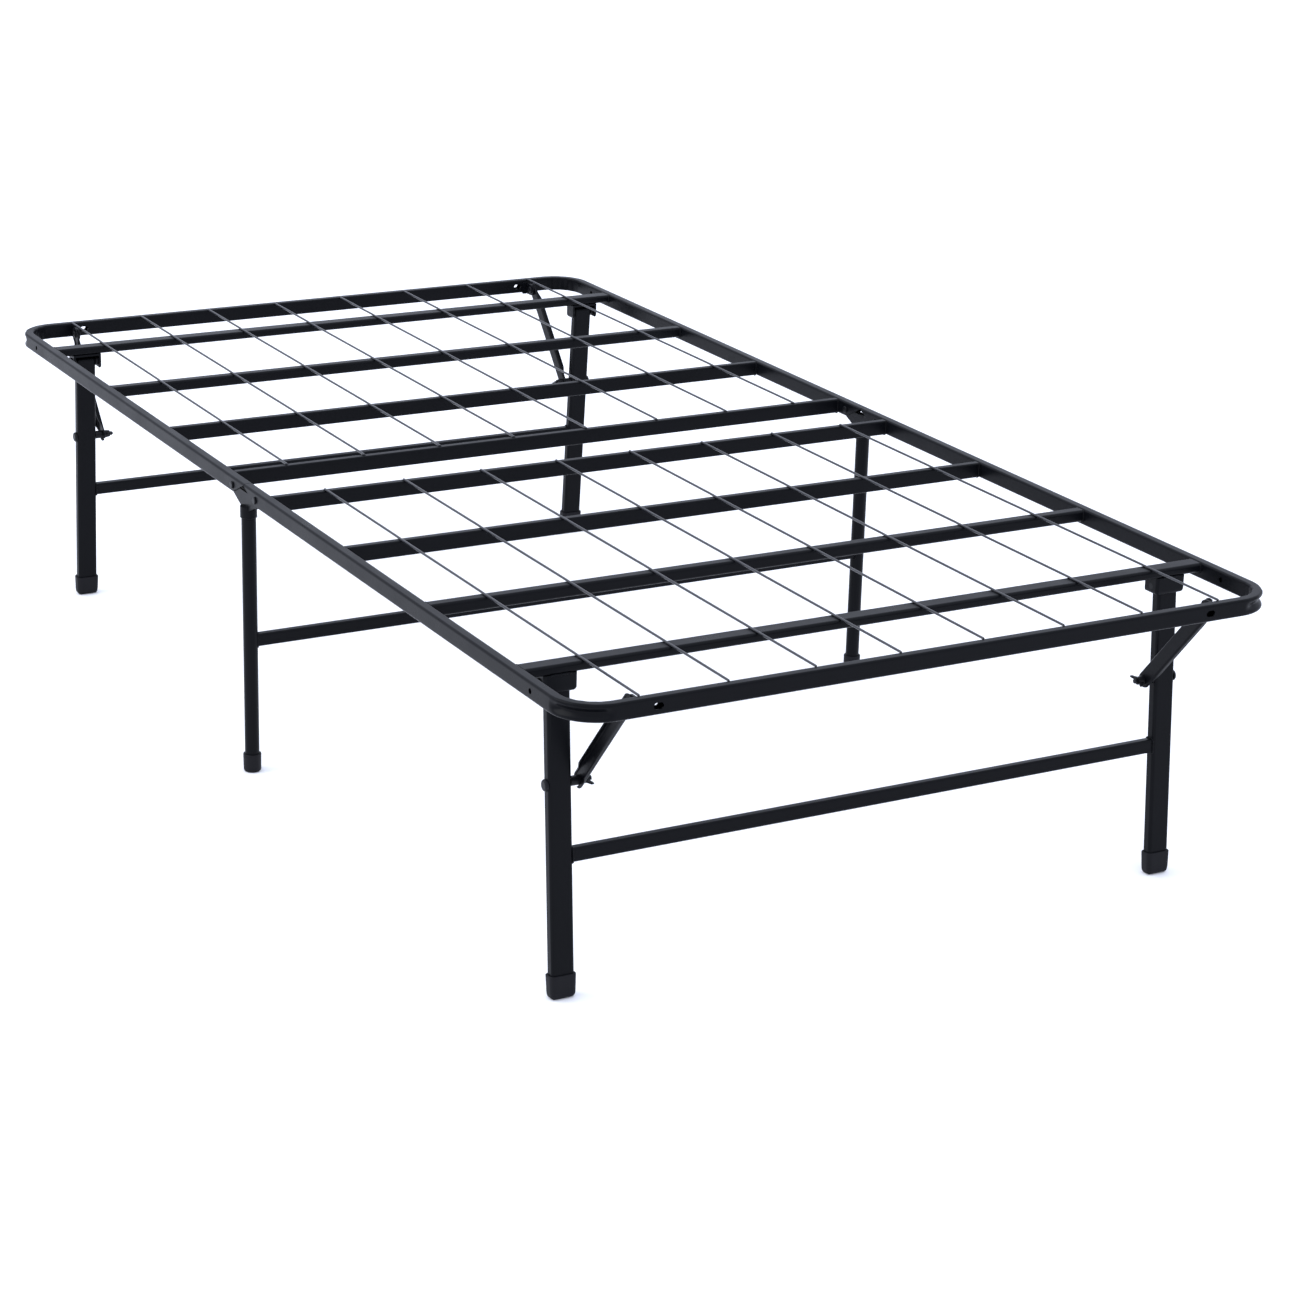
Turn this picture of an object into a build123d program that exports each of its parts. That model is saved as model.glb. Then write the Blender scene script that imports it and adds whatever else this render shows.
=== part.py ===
from build123d import *
import os
from math import atan2, cos, degrees, radians, sin, tan

# Folding metal platform bed frame, millimetres.
# Origin: centre of the footprint on the floor.  +X right, +Y to the head end, +Z up.
# Everything is drawn for the head half (+Y) and the left side (-X); the foot half and the
# right side are mirror copies.

# --- overall size -----------------------------------------------------------------
LENGTH = 1905.0          # over the two end rails
WIDTH = 988.0            # over the two side rails
RAIL_TOP = 412.0         # top face of the rails above the floor

# --- rails: one bent rectangular tube for each half ---------------------------------
RAIL_W = 14.0
RAIL_H = 22.0
RAIL_CORNER = 3.0
RAIL_WALL = 1.5
BEND_R = 50.0            # centre line of the bend
GROOVE_R = 8.0           # round groove pressed into the outer wall of each bend
GROOVE_DEPTH = 4.0
GROOVE_SWEEP = 64.0      # degrees of the bend that the groove covers
BUTT_GAP = 0.5           # from the centre plane to a rail's end

# --- cross tubes and lengthwise wires ------------------------------------------------
BAR_DROP = 1.0           # cross tubes lie this much below the rail's top face
LEG_BAR = (25.0, 12.0, 4.0)      # width along Y, height, corner radius
MID_BAR = (18.0, 16.0, 4.0)
MAIN_BAR = (12.0, 21.0, 2.5)
BAR_WALL = 1.5
BAR_PLACES = ((798.0, LEG_BAR), (550.0, MID_BAR), (306.0, MAIN_BAR), (66.0, MAIN_BAR))
WIRE_R = 1.6
WIRE_PITCH = 115.5
WIRES = 8
WIRE_SINK = 0.2          # weld depth of a wire in a cross tube
WIRE_LAP = 2.5           # how far a wire's end lies on the end rail

# --- end legs ------------------------------------------------------------------------
LEG_X = 434.0            # centre of a leg from the centre plane
LEG = (30.0, 15.0, 4.0)  # width along X, depth, corner radius
LEG_WALL = 1.5
LEG_SPLAY = 4.0          # degrees; the feet stand further out than the pivots
LEG_PIVOT_Y = 798.0
LEG_PIVOT_Z = 386.0
LEG_ABOVE_PIVOT = 6.0
LEG_TOP_ROUND = 4.5
LEG_STRETCHER_Z = 175.0
STRETCHER = (13.0, 18.0, 3.0)    # depth, height, corner radius
CAP = (35.0, 20.0, 6.0)          # plastic foot: width along X, depth, corner radius
CAP_HEIGHT = 30.0
CAP_FLOOR = 7.0
CAP_RIM_ROUND = 1.2
PIVOT_R = 4.0
RUN = 0.05               # radial clearance of a turning fit

# --- hangers that the end legs turn in -------------------------------------------------
HANGER_HALF_W = 22.0
HANGER_T = 3.0
HANGER_DEPTH = 25.0
HANGER_BOTTOM = 377.0
HANGER_ROUND = 5.0       # its lower edges
PIVOT_HEAD = (7.5, 3.0)  # radius, height
SPACER_R = 7.0

# --- braces, their bolts and wing nuts ---------------------------------------------------
BOLT_Z = 264.0
BOLT_R = 3.0
BOLT_HEAD = (7.5, 4.0)
SLEEVE_R = 6.0
BOLT_PAST_NUT = 4.0
BRACE_PIVOT_Y = 921.0
BRACE_PIVOT_Z = 398.0
BRACE_W = 21.0
BRACE_T = 2.0
BRACE_DEPTH = 7.0
BRACE_GAP = 0.6          # between the hanger and the brace
FORK_R = 4.0             # half the width of the open slot that takes the bolt
FLANGE_FROM, FLANGE_TO = 10.0, 168.0
FLANGE_FADE = 16.0       # length over which a flange slopes down to the web at each end
TAB_T = 3.0
TAB_R = 9.0
TAB_FOOT = 10.0          # width of the welded foot on the rail
RIVET_R = 3.0
RIVET_HEAD = (5.5, 2.2)
NUT_HUB_R = 6.0
NUT_LENGTH = 9.0
WING_SPAN = 12.5
WING_LIFT = 3.0          # how far a wing's tip stands past the end of the hub
WING_TIP = 4.0           # width of a wing's tip
WING_T = 2.4
WING_TURN = 75.0         # degrees from upright at which a tightened nut stands
SIDE_GAP = 0.4           # free space beside a part that turns on a face

# --- centre hinges and centre legs ---------------------------------------------------------
HINGE_Y = 40.0           # each hinge pin from the centre plane
HINGE_Z = 400.0
HINGE_R = 9.5            # rounded end of a hinge plate about its pin
HINGE_PLATE = (2.5, 5.0) # inner and outer face of a plate from the rail's middle
HINGE_HEAD = (5.0, 2.0)
MITRE_FOOT = 42.0        # the rail's side walls slope back to here at their lower edge
MITRE_TOP = 3.0          # depth of the rail that runs on to the centre plane
MITRE_START = 2.0
SLOT_END = 58.0          # the rail's lower wall is open up to here
CENTRE_LEG_R = 10.0
CENTRE_LEG_TOP = 377.0
CENTRE_CAP_R = 12.5
CENTRE_CAP_HEIGHT = 26.0
CENTRE_STRETCHER_Z = 190.0
COLLAR = (11.5, 366.0, 381.0)    # radius, lower end, upper end
THROAT = (11.0, 384.0)           # radius of the plates' lower round and its height
PLATE_DIP = (28.0, 20.0, 401.0)  # half width of the dip at its mouth and floor, and its height
CENTRE_CAP_ROUND = 2.0

# --- holes for a headboard or footboard -----------------------------------------------------
BOARD_SLOT_X = 385.0
BOARD_SLOT = (13.0, 8.0) # length, width
SIDE_HOLE_Y = 850.0
SIDE_HOLE_R = 3.5

RAIL_X = WIDTH / 2 - RAIL_W / 2
RAIL_Y = LENGTH / 2 - RAIL_W / 2
RAIL_Z = RAIL_TOP - RAIL_H / 2
BAR_TOP = RAIL_TOP - BAR_DROP
BAR_LENGTH = WIDTH - 2 * RAIL_W
BEND_X = RAIL_X - BEND_R
BEND_Y = RAIL_Y - BEND_R
LEG_LENGTH = LEG_PIVOT_Z / cos(radians(LEG_SPLAY))
BOLT_DROP = (LEG_PIVOT_Z - BOLT_Z) / cos(radians(LEG_SPLAY))
BOLT_Y = LEG_PIVOT_Y + (LEG_PIVOT_Z - BOLT_Z) * tan(radians(LEG_SPLAY))
LEG_INNER_X = LEG_X - LEG[0] / 2
BRACE_OUT_X = LEG_X - HANGER_HALF_W - BRACE_GAP      # open side of the channel
BRACE_IN_X = BRACE_OUT_X - BRACE_DEPTH               # face that the wing nut bears on
BRACE_REACH = ((BRACE_PIVOT_Y - BOLT_Y) ** 2 + (BRACE_PIVOT_Z - BOLT_Z) ** 2) ** 0.5
BRACE_LEAN = degrees(atan2(BRACE_PIVOT_Y - BOLT_Y, BRACE_PIVOT_Z - BOLT_Z))
CUT = 40.0               # reach of a drill or cutter past what it cuts


def tube_section(width, height, corner, wall):
    inner = corner - wall
    return RectangleRounded(width, height, corner) - RectangleRounded(
        width - 2 * wall, height - 2 * wall, inner)


def along_x(profile, length, x=0.0, y=0.0, z=0.0):
    """A section given as (Y, Z) drawn out both ways along X from a middle point."""
    plane = Plane(origin=(x, y, z), x_dir=(0, 1, 0), z_dir=(1, 0, 0))
    return extrude(plane * profile, amount=length / 2, both=True)


def rod_x(radius, x0, x1, y, z):
    return along_x(Circle(radius), x1 - x0, (x0 + x1) / 2, y, z)


DOME_ROUND = 0.7         # share of a button head's height that its crown is rounded


def dome_x(radius, height, x, y, z, way):
    """A low button head whose flat side is at x and whose crown points along way * X."""
    disc = rod_x(radius, min(x, x + way * height), max(x, x + way * height), y, z)
    crown = disc.edges().filter_by(GeomType.CIRCLE).sort_by(Axis.X)[-1 if way > 0 else 0]
    return fillet(crown, DOME_ROUND * height)


def mirror_y(shape):
    return mirror(shape, about=Plane.XZ)


def mirror_x(shape):
    return mirror(shape, about=Plane.YZ)


def both_sides(shape):
    return [shape, mirror_x(shape)]


def on_leg(shape, x=-LEG_X):
    """Moves a piece drawn about the pivot, with the leg pointing straight down, to its place."""
    return Pos(x, LEG_PIVOT_Y, LEG_PIVOT_Z) * Rot(X=LEG_SPLAY) * shape


def save(name, solids):
    solids = solids if isinstance(solids, list) else [solids]
    body = solids[0] if len(solids) == 1 else Compound(children=solids)
    export_step(body, "parts/" + name + ".step")


# --- the bent rail of one half -------------------------------------------------------------
def rail_straights(width, height, corner, along=0.0):
    """Two side runs and the end run of one half, as plain bars of the given section."""
    side_length = BEND_Y - BUTT_GAP
    profile = RectangleRounded(width, height, corner)
    plane = Plane(origin=(-RAIL_X, BUTT_GAP - along, RAIL_Z), x_dir=(1, 0, 0), z_dir=(0, 1, 0))
    side = extrude(plane * profile, amount=side_length + along)
    end = along_x(profile, 2 * BEND_X, 0, RAIL_Y, RAIL_Z)
    return side + mirror_x(side) + end


def rail_bend(width, height, corner, radius):
    """The left bend, as a bar of the given section whose middle line has the given radius."""
    plane = Plane(origin=(-BEND_X - radius, BEND_Y, RAIL_Z), x_dir=(1, 0, 0), z_dir=(0, 1, 0))
    axis = Axis((-BEND_X, BEND_Y, 0), (0, 0, 1))
    return revolve(plane * RectangleRounded(width, height, corner), axis, -90)


def bend_groove():
    """The groove pressed into the outer wall of the left bend, with rounded ends."""
    radius = BEND_R + RAIL_W / 2 - GROOVE_DEPTH + GROOVE_R
    start = 180 - (90 - GROOVE_SWEEP) / 2
    centre = Vector(-BEND_X, BEND_Y, RAIL_Z)
    out = Vector(cos(radians(start)), sin(radians(start)), 0)
    plane = Plane(origin=centre + out * radius, x_dir=out, z_dir=(-out.Y, out.X, 0))
    axis = Axis(centre, (0, 0, 1))
    groove = revolve(plane * Circle(GROOVE_R), axis, -GROOVE_SWEEP)
    for angle in (start, start - GROOVE_SWEEP):
        tip = centre + Vector(cos(radians(angle)), sin(radians(angle)), 0) * radius
        groove += Pos(*tip) * Sphere(GROOVE_R)
    return groove


def half_rail():
    cavity_w = RAIL_W - 2 * RAIL_WALL
    cavity_h = RAIL_H - 2 * RAIL_WALL
    bend = rail_bend(RAIL_W, RAIL_H, RAIL_CORNER, BEND_R)
    rail = rail_straights(RAIL_W, RAIL_H, RAIL_CORNER) + bend + mirror_x(bend)

    # the cavity is narrower in the bends, where the outer wall is pressed in
    narrow_w = cavity_w - GROOVE_DEPTH
    narrow = rail_bend(narrow_w, cavity_h, RAIL_WALL, BEND_R - GROOVE_DEPTH / 2)
    rail -= rail_straights(cavity_w, cavity_h, RAIL_WALL, along=1.0)
    rail -= narrow + mirror_x(narrow)
    groove = bend_groove()
    rail -= groove + mirror_x(groove)

    # at the centre hinge the side walls slope back and the lower wall is open
    low = RAIL_TOP - RAIL_H
    high = RAIL_TOP - MITRE_TOP
    mitre = Polygon((-CUT, high), (MITRE_START, high), (MITRE_FOOT, low),
                    (MITRE_FOOT, low - CUT), (-CUT, low - CUT), align=None)
    for x in (-RAIL_X, RAIL_X):
        rail -= along_x(mitre, RAIL_W + 2, x)
        rail -= Pos(x, SLOT_END / 2, low) * Box(cavity_w, SLOT_END, 2 * RAIL_WALL + 1)
        rail -= rod_x(PIVOT_R + RUN, x - RAIL_W, x + RAIL_W, HINGE_Y, HINGE_Z)
        rail -= rod_x(SIDE_HOLE_R, x - RAIL_W, x + RAIL_W, SIDE_HOLE_Y, RAIL_Z)
        slot_x = BOARD_SLOT_X if x > 0 else -BOARD_SLOT_X
        slot = Plane(origin=(slot_x, RAIL_Y - RAIL_W, RAIL_Z), x_dir=(1, 0, 0), z_dir=(0, 1, 0))
        rail -= extrude(slot * SlotOverall(*BOARD_SLOT), amount=2 * RAIL_W)
    return rail


def cross_bar(y, size):
    width, height, corner = size
    section = tube_section(width, height, corner, BAR_WALL)
    return along_x(section, BAR_LENGTH, 0, y, BAR_TOP - height / 2)


def half_wires():
    start = BAR_PLACES[-1][0]
    end = RAIL_Y - RAIL_W / 2 + WIRE_LAP
    z = BAR_TOP - WIRE_SINK + WIRE_R
    wires = []
    for i in range(WIRES):
        x = (i - (WIRES - 1) / 2) * WIRE_PITCH
        plane = Plane(origin=(x, start, z), x_dir=(1, 0, 0), z_dir=(0, 1, 0))
        wires.append(extrude(plane * Circle(WIRE_R), amount=end - start))
    return wires


# --- leg hangers and what turns in them ------------------------------------------------------
def leg_hanger():
    top = BAR_TOP - LEG_BAR[1]
    height = top - HANGER_BOTTOM
    block = Pos(-LEG_X, LEG_PIVOT_Y, top - height / 2) * Box(
        2 * HANGER_HALF_W, HANGER_DEPTH, height)
    block = fillet(block.edges().filter_by(Axis.X).group_by(Axis.Z)[0], HANGER_ROUND)
    # open below and towards the centre; the outer wall stops the leg from swinging too far out
    hanger = block - Pos(-LEG_X, LEG_PIVOT_Y - HANGER_T, top - HANGER_T - height / 2) * Box(
        2 * (HANGER_HALF_W - HANGER_T), HANGER_DEPTH, height)
    return hanger - rod_x(PIVOT_R, -LEG_X - CUT, -LEG_X + CUT, LEG_PIVOT_Y, LEG_PIVOT_Z)


def hanger_pin():
    x0, x1 = -LEG_X - HANGER_HALF_W, -LEG_X + HANGER_HALF_W
    pin = rod_x(PIVOT_R, x0, x1, LEG_PIVOT_Y, LEG_PIVOT_Z)
    pin += dome_x(*PIVOT_HEAD, x0, LEG_PIVOT_Y, LEG_PIVOT_Z, -1)
    # the inner head is only a flush peened end, because the brace swings past it
    return pin


def hanger_spacers():
    inner = HANGER_HALF_W - HANGER_T
    outer = LEG[0] / 2 + SIDE_GAP
    spacers = []
    for way in (-1, 1):
        x0, x1 = sorted((-LEG_X + way * inner, -LEG_X + way * outer))
        ring = rod_x(SPACER_R, x0, x1, LEG_PIVOT_Y, LEG_PIVOT_Z)
        spacers.append(ring - rod_x(PIVOT_R, x0 - 1, x1 + 1, LEG_PIVOT_Y, LEG_PIVOT_Z))
    return spacers


# --- one end leg frame -------------------------------------------------------------------------
def end_leg():
    bottom = LEG_LENGTH - CAP_FLOOR
    width, depth, corner = LEG
    section = tube_section(width, depth, corner, LEG_WALL)
    leg = Pos(0, 0, -bottom) * extrude(section, amount=bottom + LEG_ABOVE_PIVOT)
    crown = Pos(0, 0, LEG_ABOVE_PIVOT - LEG_WALL) * extrude(
        RectangleRounded(width, depth, corner), amount=LEG_WALL)
    leg += crown
    top_edges = leg.edges().filter_by(Axis.X).group_by(Axis.Z)[-1]
    leg = fillet(top_edges, LEG_TOP_ROUND)
    leg -= rod_x(PIVOT_R + RUN, -width, width, 0, 0)
    leg -= rod_x(BOLT_R, -width, width, 0, -BOLT_DROP)
    return on_leg(leg)


def end_stretcher():
    depth, height, corner = STRETCHER
    drop = (LEG_PIVOT_Z - LEG_STRETCHER_Z) / cos(radians(LEG_SPLAY))
    bar = along_x(tube_section(depth, height, corner, BAR_WALL), 2 * LEG_INNER_X, 0, 0, -drop)
    return on_leg(bar, x=0.0)


def end_cap():
    """A moulded shoe with a socket for the tube, cut level with the floor below."""
    spare = CAP[1]
    cap = Pos(0, 0, -LEG_LENGTH - spare) * extrude(
        RectangleRounded(*CAP), amount=CAP_HEIGHT + spare)
    rim = cap.edges().group_by(Axis.Z)[-1]
    cap = fillet(rim, CAP_RIM_ROUND)
    cap -= Pos(0, 0, -LEG_LENGTH + CAP_FLOOR) * extrude(RectangleRounded(*LEG), amount=CAP_HEIGHT)
    cap = on_leg(cap)
    ground = Pos(cap.center().X, cap.center().Y, -CUT) * Box(2 * CUT, 2 * CUT, 2 * CUT)
    return cap - ground


def leg_bolt():
    outer = -LEG_X - LEG[0] / 2
    tip = -BRACE_IN_X + SIDE_GAP + NUT_LENGTH + BOLT_PAST_NUT
    bolt = rod_x(BOLT_R, outer, tip, BOLT_Y, BOLT_Z)
    return bolt + dome_x(*BOLT_HEAD, outer, BOLT_Y, BOLT_Z, -1)


def bolt_sleeve():
    x0 = -LEG_INNER_X
    x1 = -BRACE_IN_X - BRACE_T - SIDE_GAP
    sleeve = rod_x(SLEEVE_R, x0, x1, BOLT_Y, BOLT_Z)
    return sleeve - rod_x(BOLT_R, x0 - 1, x1 + 1, BOLT_Y, BOLT_Z)


# --- brace from the end rail down to the leg's bolt -----------------------------------------------
def on_brace(shape):
    """Moves a piece drawn about the brace's pivot, pointing straight down, to its place."""
    return Pos(-BRACE_IN_X, BRACE_PIVOT_Y, BRACE_PIVOT_Z) * Rot(X=-BRACE_LEAN) * shape


def brace():
    """A pressed channel: flat rounded ends, flanges towards the leg, a fork at the lower end."""
    half = BRACE_W / 2
    flat = along_x(Rectangle(BRACE_W, BRACE_REACH), BRACE_T, 0, 0, -BRACE_REACH / 2)
    for z in (0.0, -BRACE_REACH):
        flat += rod_x(half, -BRACE_T / 2, BRACE_T / 2, 0, z)
    channel = Pos(-BRACE_T / 2, 0, 0) * flat
    flange = Polygon((-BRACE_T, -FLANGE_FROM), (-BRACE_DEPTH, -FLANGE_FROM - FLANGE_FADE),
                     (-BRACE_DEPTH, -FLANGE_TO + FLANGE_FADE), (-BRACE_T, -FLANGE_TO),
                     (0, -FLANGE_TO), (0, -FLANGE_FROM), align=None)
    for way in (-1, 1):
        plane = Plane(origin=(0, way * (half - BRACE_T / 2), 0), x_dir=(1, 0, 0),
                      z_dir=(0, -1, 0))
        channel += extrude(plane * flange, amount=BRACE_T / 2, both=True)
    channel -= rod_x(RIVET_R + RUN, -CUT, CUT, 0, 0)
    channel -= rod_x(FORK_R, -CUT, CUT, 0, -BRACE_REACH)
    channel -= Pos(0, 0, -BRACE_REACH - half) * Box(CUT, 2 * FORK_R, BRACE_W)
    return on_brace(channel)


def brace_tab():
    """The ear on the inner face of the end rail that the brace is riveted to."""
    x0 = -BRACE_IN_X + SIDE_GAP
    face = RAIL_Y - RAIL_W / 2
    reach = face - BRACE_PIVOT_Y
    ear = rod_x(TAB_R, x0, x0 + TAB_T, BRACE_PIVOT_Y, BRACE_PIVOT_Z)
    ear += Pos(x0 + TAB_T / 2, BRACE_PIVOT_Y + reach / 2, BRACE_PIVOT_Z) * Box(
        TAB_T, reach, 2 * TAB_R)
    ear += Pos(x0 + TAB_FOOT / 2, face - TAB_T / 2, BRACE_PIVOT_Z) * Box(
        TAB_FOOT, TAB_T, 2 * TAB_R)
    return ear - rod_x(RIVET_R, x0 - TAB_T, x0 + 2 * TAB_T, BRACE_PIVOT_Y, BRACE_PIVOT_Z)


def brace_rivet():
    x0 = -BRACE_IN_X - BRACE_T - SIDE_GAP
    x1 = -BRACE_IN_X + SIDE_GAP + TAB_T
    rivet = rod_x(RIVET_R, x0, x1, BRACE_PIVOT_Y, BRACE_PIVOT_Z)
    rivet += dome_x(*RIVET_HEAD, x0, BRACE_PIVOT_Y, BRACE_PIVOT_Z, -1)
    return rivet + dome_x(*RIVET_HEAD, x1, BRACE_PIVOT_Y, BRACE_PIVOT_Z, 1)


def wing_nut():
    x0 = -BRACE_IN_X + SIDE_GAP
    nut = rod_x(NUT_HUB_R, x0, x0 + NUT_LENGTH, BOLT_Y, BOLT_Z)
    far = NUT_LENGTH + WING_LIFT
    root = NUT_HUB_R / 2
    wing = Polygon((0, root), (root, root), (far, WING_SPAN - WING_TIP), (far - 1, WING_SPAN),
                   (far - 1 - WING_TIP, WING_SPAN), (0, NUT_HUB_R), align=None)
    plane = Plane(origin=(x0, BOLT_Y, BOLT_Z), x_dir=(1, 0, 0), z_dir=(0, 1, 0))
    for turn in (0, 180):
        blade = extrude(plane * wing, amount=WING_T / 2, both=True)
        nut += blade.rotate(Axis((x0, BOLT_Y, BOLT_Z), (1, 0, 0)), WING_TURN + turn)
    return nut - rod_x(BOLT_R + RUN, x0 - 1, x0 + far + 1, BOLT_Y, BOLT_Z)


# --- centre hinge and centre leg --------------------------------------------------------------------
def hinge_bracket():
    """Two plates between the rails' walls, joined below by a collar on the centre leg."""
    rounds = (Pos(HINGE_Y, HINGE_Z) * Circle(HINGE_R), Pos(-HINGE_Y, HINGE_Z) * Circle(HINGE_R),
              Pos(0, THROAT[1]) * Circle(THROAT[0]))
    mouth, floor, dip_z = PLATE_DIP
    outline = make_hull([edge for disc in rounds for edge in disc.edges()]) - Polygon(
        (-mouth, RAIL_TOP), (-floor, dip_z), (floor, dip_z), (mouth, RAIL_TOP), align=None)
    inner, outer = HINGE_PLATE
    bracket = Pos(-RAIL_X, 0, COLLAR[1]) * extrude(Circle(COLLAR[0]), COLLAR[2] - COLLAR[1])
    for way in (-1, 1):
        bracket += along_x(outline, outer - inner, -RAIL_X + way * (inner + outer) / 2)
    socket = CENTRE_LEG_TOP - COLLAR[1]
    bracket -= Pos(-RAIL_X, 0, COLLAR[1]) * extrude(Circle(CENTRE_LEG_R), socket)
    for y in (-HINGE_Y, HINGE_Y):
        bracket -= rod_x(PIVOT_R, -RAIL_X - CUT, -RAIL_X + CUT, y, HINGE_Z)
    return bracket


def hinge_pin(y):
    x0, x1 = -RAIL_X - RAIL_W / 2 - SIDE_GAP, -RAIL_X + RAIL_W / 2 + SIDE_GAP
    pin = rod_x(PIVOT_R, x0, x1, y, HINGE_Z)
    pin += dome_x(*HINGE_HEAD, x0, y, HINGE_Z, -1)
    return pin + dome_x(*HINGE_HEAD, x1, y, HINGE_Z, 1)


def centre_leg():
    length = CENTRE_LEG_TOP - CAP_FLOOR
    ring = Circle(CENTRE_LEG_R) - Circle(CENTRE_LEG_R - LEG_WALL)
    return Pos(-RAIL_X, 0, CAP_FLOOR) * extrude(ring, length)


def centre_cap():
    cap = extrude(Circle(CENTRE_CAP_R), CENTRE_CAP_HEIGHT)
    cap = fillet(cap.edges(), CENTRE_CAP_ROUND)
    cap -= Pos(0, 0, CAP_FLOOR) * extrude(Circle(CENTRE_LEG_R), CENTRE_CAP_HEIGHT)
    return Pos(-RAIL_X, 0, 0) * cap


def centre_stretcher():
    depth, height, corner = STRETCHER
    bar = along_x(tube_section(depth, height, corner, BAR_WALL), 2 * RAIL_X, z=CENTRE_STRETCHER_Z)
    for x in (-RAIL_X, RAIL_X):
        bar -= Pos(x, 0, CENTRE_STRETCHER_Z - CUT) * extrude(Circle(CENTRE_LEG_R), 2 * CUT)
    return bar


# --- write every node ------------------------------------------------------------------------------
os.makedirs("parts", exist_ok=True)

rail = half_rail()
wires = half_wires()
leg_stretcher = end_stretcher()
pairs = {"leg_hanger": leg_hanger(), "leg": end_leg(), "foot_cap": end_cap(),
         "brace": brace(), "brace_tab": brace_tab(), "wing_nut": wing_nut()}
groups = {"hanger_pins": both_sides(hanger_pin()), "brace_rivets": both_sides(brace_rivet()),
          "leg_bolts": both_sides(leg_bolt()), "bolt_sleeves": both_sides(bolt_sleeve()),
          "hanger_spacers": [s for ring in hanger_spacers() for s in both_sides(ring)]}

for half, place in (("head", lambda shape: shape), ("foot", mirror_y)):
    save(half + "_rail", place(rail))
    save(half + "_wires", [place(wire) for wire in wires])
    for number, (y, size) in enumerate(BAR_PLACES, 1):
        save(f"{half}_crossbar_{number}", place(cross_bar(y, size)))
    save(half + "_stretcher", place(leg_stretcher))
    for name, left in pairs.items():
        save(f"{half}_left_{name}", place(left))
        save(f"{half}_right_{name}", place(mirror_x(left)))
    for name, solids in groups.items():
        save(f"{half}_{name}", [place(solid) for solid in solids])

for name, left in (("hinge", hinge_bracket()), ("leg", centre_leg()), ("foot_cap", centre_cap())):
    save("centre_left_" + name, left)
    save("centre_right_" + name, mirror_x(left))
save("centre_stretcher", centre_stretcher())
save("centre_hinge_pins", [s for y in (-HINGE_Y, HINGE_Y) for s in both_sides(hinge_pin(y))])
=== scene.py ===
from math import atan2, cos, hypot, pi, radians, sin, tan

import bmesh
import bpy
from mathutils import Matrix, Vector


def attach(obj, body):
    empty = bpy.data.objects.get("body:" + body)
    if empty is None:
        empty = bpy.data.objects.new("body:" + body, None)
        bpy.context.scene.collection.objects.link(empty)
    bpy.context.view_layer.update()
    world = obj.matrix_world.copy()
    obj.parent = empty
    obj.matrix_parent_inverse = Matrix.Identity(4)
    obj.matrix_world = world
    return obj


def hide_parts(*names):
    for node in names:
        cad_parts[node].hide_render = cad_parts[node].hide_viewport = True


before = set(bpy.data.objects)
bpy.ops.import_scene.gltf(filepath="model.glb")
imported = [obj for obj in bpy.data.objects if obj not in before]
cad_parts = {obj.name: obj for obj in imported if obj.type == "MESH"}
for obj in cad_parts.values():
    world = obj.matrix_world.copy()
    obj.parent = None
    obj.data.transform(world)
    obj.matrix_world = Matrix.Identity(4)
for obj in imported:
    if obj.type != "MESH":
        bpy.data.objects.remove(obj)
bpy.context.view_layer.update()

# ---------------------------------------------------------------------------------------
# Bent rails. Each half has one length of rectangular steel tube, bent round two corners on
# a former that presses a soft groove into its outer wall. Both halves butt at the centre
# hinge, where the side walls are sawn back at a slope. Powder coated black and stoved.
MM = 0.001
HALVES = {"head": 1, "foot": -1}
SIDE_X, END_Y, RAIL_Z = 487.0, 945.5, 401.0        # centre lines of the tube
RAIL_WIDE, RAIL_HIGH, RAIL_CORNER, RAIL_WALL = 14.0, 22.0, 3.0, 1.5
BUTT_Y = 0.5                                       # each half stops this short of the middle
BEND_R, BEND_STEPS = 50.0, 44
GROOVE_DEEP, GROOVE_HALF, GROOVE_FADE = 4.9, 7.8, 0.22      # the fade is a share of the bend
RIPPLE_HIGH, RIPPLE_WAVES, LIP_HIGH, LIP_WAVES = 0.3, 5.0, 0.25, 3.5
SLOPE_CUT = [(-20, 409), (2, 409), (42, 390), (44, 370), (-20, 370)]    # (y, z), sawn away
FLOOR_CUT = [(-20, 388), (58, 388), (58, 392.2), (-20, 392.2)]          # opens the lower wall
RIVET_Y, RIVET_Z, RIVET_HOLE_R = 40.0, 400.0, 4.05
SIDE_HOLE_Y, SIDE_HOLE_R = 850.0, 3.5
SLOT_X, SLOT_END_R, SLOT_REACH = 385.0, 4.0, 2.5            # the reach is to each end's centre


def linear(code):
    """An sRGB hex colour as linear RGBA."""
    values = [int(code[i:i + 2], 16) / 255 for i in (1, 3, 5)]
    return [v / 12.92 if v <= 0.04045 else ((v + 0.055) / 1.055) ** 2.4 for v in values] + [1]


def add(tree, kind, links=None, **settings):
    """Adds a node with its properties; links gives each input its socket or its constant."""
    made = tree.nodes.new("ShaderNode" + kind)
    for key, value in settings.items():
        setattr(made, key, value)
    for key, value in (links or {}).items():
        socket = made.inputs[key]
        if isinstance(value, bpy.types.NodeSocket):
            tree.links.new(value, socket)
        else:
            socket.default_value = value
    return made


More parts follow.
